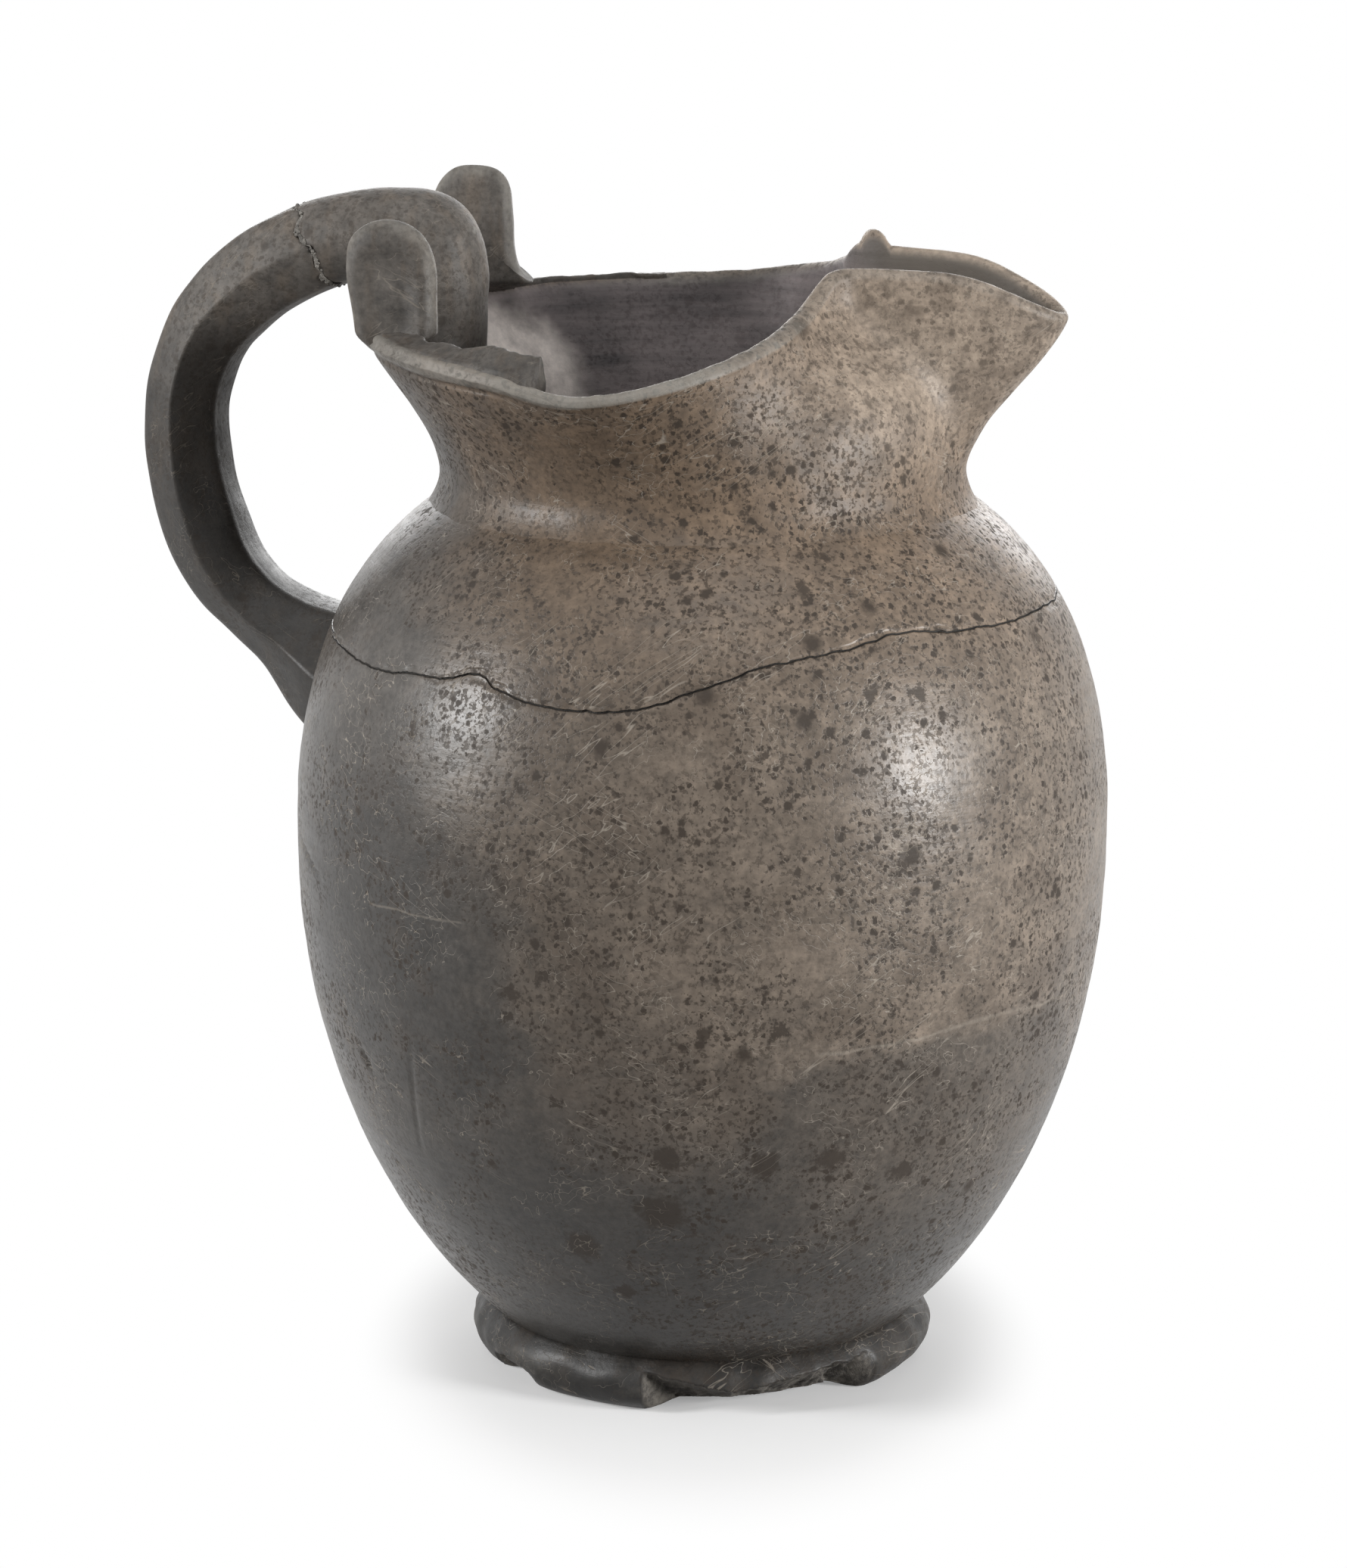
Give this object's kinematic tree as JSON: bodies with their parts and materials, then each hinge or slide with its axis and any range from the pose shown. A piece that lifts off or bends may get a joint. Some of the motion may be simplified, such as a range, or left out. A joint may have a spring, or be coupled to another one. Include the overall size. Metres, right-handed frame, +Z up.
{
  "type": "oinochoe jug",
  "caption": "Egg-bodied clay pouring jug with a pinched three-lobed mouth, a high-swung strap handle, upright lugs beside it and a ring foot.",
  "frame": {"origin": "middle of the foot ring's resting face, on the jug's axis", "axes": "+Z up, +X from the handle to the spout, -Y towards the side that the picture shows"},
  "size_m": [0.2177, 0.18, 0.2629],
  "materials": {
    "burnished_clay": "burnished grey-brown fired clay, semi-gloss, speckled",
    "grey_clay": "burnished dark grey fired clay",
    "dark_clay": "dark grey fired clay, worn and chipped",
    "dark_fill": "dark matt fill in the mended break",
    "gritty_fill": "pale gritty fill in the handle's break"
  },
  "bodies": {
    "root": {"foot_ring": "dark_clay", "lower_body": "burnished_clay", "shoulder_mend": "dark_fill", "upper_body": "burnished_clay", "neck": "burnished_clay", "handle_lower": "grey_clay", "handle_mend": "gritty_fill", "handle_upper": "grey_clay", "near_lug": "grey_clay", "far_lug": "grey_clay", "near_rim_arm": "grey_clay", "far_rim_arm": "grey_clay"}
  },
  "joints": []
}
